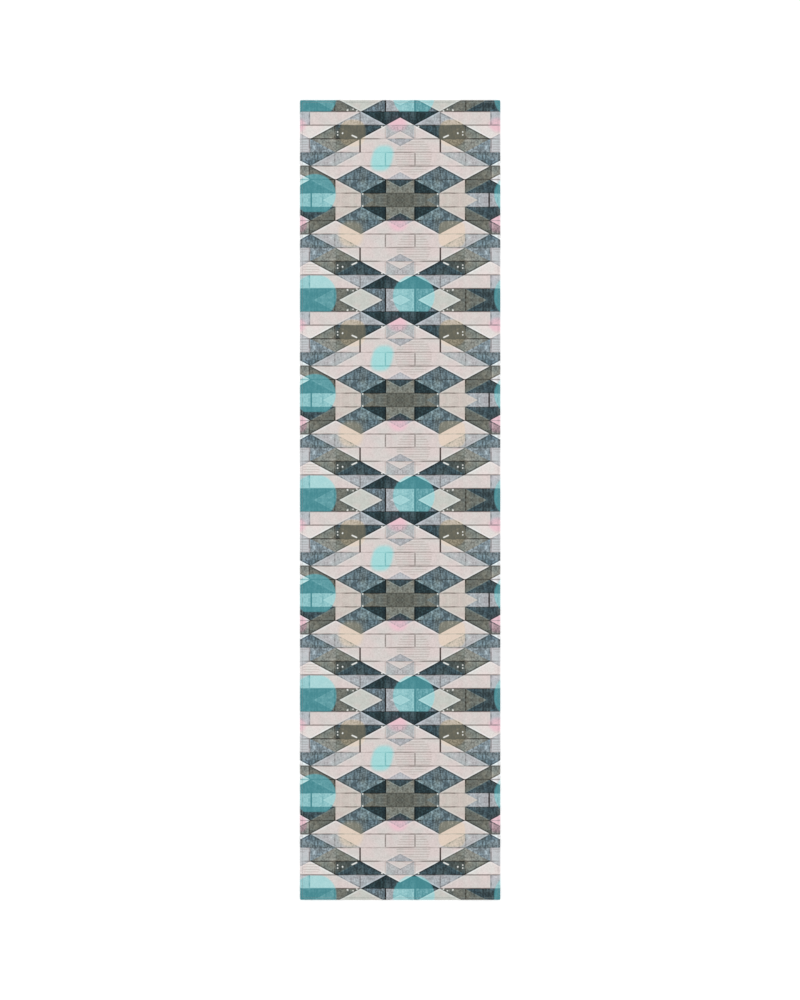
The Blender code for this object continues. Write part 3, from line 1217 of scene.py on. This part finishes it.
def make_felt_material():
    """Needled felt: matted fibres, flecks, and scattered needle marks."""
    graph = Graph("grey_felt")
    place = graph.object_place()
    fibre = graph.noise(place, 420.0, 5.0, 0.7)
    flecks = graph.noise(place, 90.0, 3.0, 0.6)
    marks, _ = graph.cells(place, 1 / NEEDLE_MARK_PITCH)
    colour = graph.scaled(ink("8d9091"), fibre * 0.5 + flecks * 0.26 + 0.62)
    height = fibre + graph.fade(marks, 0.0, 0.35) * 0.6
    return graph.finished(colour, height, 0.6, 0.4 * MM, roughness=0.95, specular=0.1)


def make_web_material():
    """Bonding web: a random net of melted glue threads with paler knots."""
    graph = Graph("bonding_web")
    place = graph.object_place()
    distance, _ = graph.cells(place, 1 / NET_PITCH)
    net = graph.fade(distance, 0.35, 0.62)
    knots = graph.fade(graph.noise(place, 240.0, 3.0), 0.45, 0.7)
    colour = graph.scaled(ink("dfe0dc"), net * 0.22 + knots * 0.10 + 0.78)
    return graph.finished(colour, net, 0.5, 0.15 * MM, roughness=0.45)


grey_felt, bonding_web = make_felt_material(), make_web_material()
felt = make_plate("felt_slab", *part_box("felt_pad"), grey_felt)
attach(felt, "root")
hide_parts("felt_pad")
for node in ("upper_bonding_web", "lower_bonding_web"):
    web = make_plate(node.replace("bonding", "glue"), *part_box(node), bonding_web)
    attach(web, "root")
    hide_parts(node)
print("pad", len(felt.data.polygons), "faces")

# %% [markdown]
# ## Grip backing
# The window between the hems shows a canvas with rows of rubber dots that stop the rug from
# sliding. The canvas sits a little above the floor and the dots reach it. A dot is a low
# dome, and one dome repeated in staggered rows makes the field.

# %% Canvas and dots
DOT_PITCH = 17 * MM
DOT_RADIUS = 2.3 * MM
DOT_HEIGHT = 0.5 * MM
DOT_SIDES = 8
ROW_PITCH = DOT_PITCH * math.sqrt(3) / 2
WEAVE_PITCH = 2.6 * MM


def make_canvas_material():
    """Plain weave: warp and weft cross over and under each other."""
    graph = Graph("grip_backing")
    across, along = graph.map_of("plate")
    over = graph.wave(across, WEAVE_PITCH) * graph.wave(along, WEAVE_PITCH)
    place = graph.object_place()
    slub = graph.noise(place, 60.0, 4.0, 0.6)
    fuzz = graph.noise(place, 900.0)
    # painted light and shade: the crossings raised in the bump are lighter and the sunk ones darker;
    # slubs and fuzz are the yarn's own uneven tone
    colour = graph.scaled(ink("c9c7c0"), over * 0.06 + (slub + fuzz) * 0.10 + 0.84)
    return graph.finished(colour, over + fuzz, 0.5, 0.3 * MM, roughness=0.9)


def make_rubber_material():
    """Matt rubber with a fine pitted skin and a little dust."""
    graph = Graph("grip_rubber")
    place = graph.object_place()
    pits = graph.noise(place, 1400.0, 3.0)
    dust = graph.noise(place, 50.0, 4.0)
    colour = graph.scaled(ink("f0efea"), pits * 0.12 + dust * 0.24 + 0.80)
    return graph.finished(colour, pits, 0.3, 0.1 * MM, roughness=0.6)


def make_dots(low, high, under, material):
    """Staggered rows of domes: an eight-sided base in the canvas, a shoulder and a top."""
    rows = int((high.y - low.y - 2 * DOT_RADIUS) / ROW_PITCH)
    columns = int((high.x - low.x - 2 * DOT_RADIUS) / DOT_PITCH)
    row, column = np.meshgrid(np.arange(rows + 1), np.arange(columns + 1), indexing="ij")
    x = (column - columns / 2 + 0.5 * (row % 2) - 0.25) * DOT_PITCH
    y = (row - rows / 2) * ROW_PITCH
    keep = np.abs(x) < high.x - 2 * DOT_RADIUS
    centres = np.stack([x[keep], y[keep]], -1)
    angle = np.linspace(0, 2 * math.pi, DOT_SIDES, endpoint=False)
    circle = np.stack([np.cos(angle), np.sin(angle)], -1)
    rings = [(1.0, under + 0.2 * MM), (0.82, under - 0.65 * DOT_HEIGHT)]
    shape = [np.column_stack([circle * DOT_RADIUS * r, np.full(DOT_SIDES, z)]) for r, z in rings]
    shape = np.concatenate([*shape, [[0, 0, under - DOT_HEIGHT]]])
    points = np.tile(shape, (len(centres), 1, 1))
    points[:, :, :2] += centres[:, None]
    base, shoulder = np.arange(DOT_SIDES), np.arange(DOT_SIDES) + DOT_SIDES
    wall = ring_faces(np.stack([base, shoulder]))
    top = np.stack([shoulder, np.roll(shoulder, -1), np.full(DOT_SIDES, 2 * DOT_SIDES)], -1)[:, ::-1]
    shift = (np.arange(len(centres)) * len(shape))[:, None, None]
    groups = [(g[None] + shift).reshape(-1, g.shape[1]) for g in (wall, top, base[None])]
    print(len(centres), "dots")
    return mesh_object("grip_dots", points.reshape(-1, 3), groups, material)


backing_lifted = backing_low.copy()
backing_lifted.z = backing_low.z + DOT_HEIGHT
backing = make_plate("grip_canvas", backing_lifted, backing_high, make_canvas_material())
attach(backing, "root")
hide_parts("grip_backing")
dots = make_dots(backing_low, backing_high, backing_lifted.z, make_rubber_material())
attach(dots, "root")
